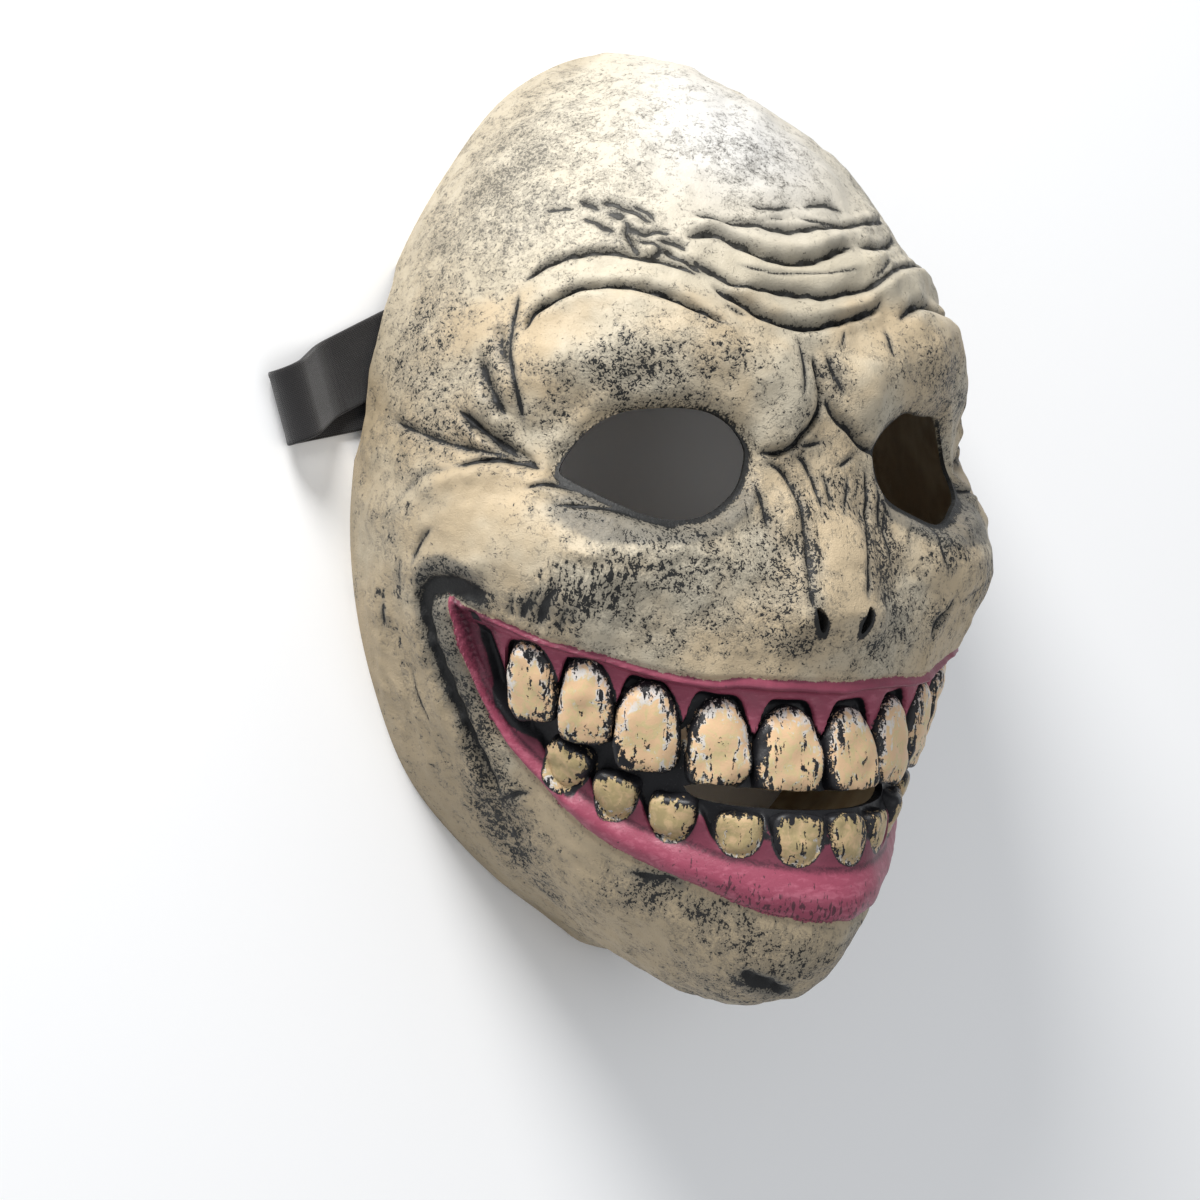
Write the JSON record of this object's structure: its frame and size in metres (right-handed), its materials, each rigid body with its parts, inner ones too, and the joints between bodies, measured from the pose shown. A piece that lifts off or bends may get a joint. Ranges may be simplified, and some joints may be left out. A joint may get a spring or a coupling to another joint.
{
  "type": "smiley face half mask",
  "caption": "Grinning latex half mask with open eye holes and two rows of teeth, worn over the face from forehead to chin on an elastic band.",
  "frame": {"origin": "middle of the flat rim that the mask lies on, under the middle of its box", "axes": "+X to the wearer's left, +Y up the face towards the forehead, +Z out of the face"},
  "size_m": [0.2016, 0.2557, 0.107],
  "materials": {
    "painted_latex": "matt cast latex, cream with blue-black stippled wash, pink lips and stained teeth",
    "woven_elastic": "flat woven charcoal elastic with fine ribs"
  },
  "bodies": {
    "root": {"mask_shell": "painted_latex", "elastic_band": "woven_elastic"}
  },
  "joints": []
}
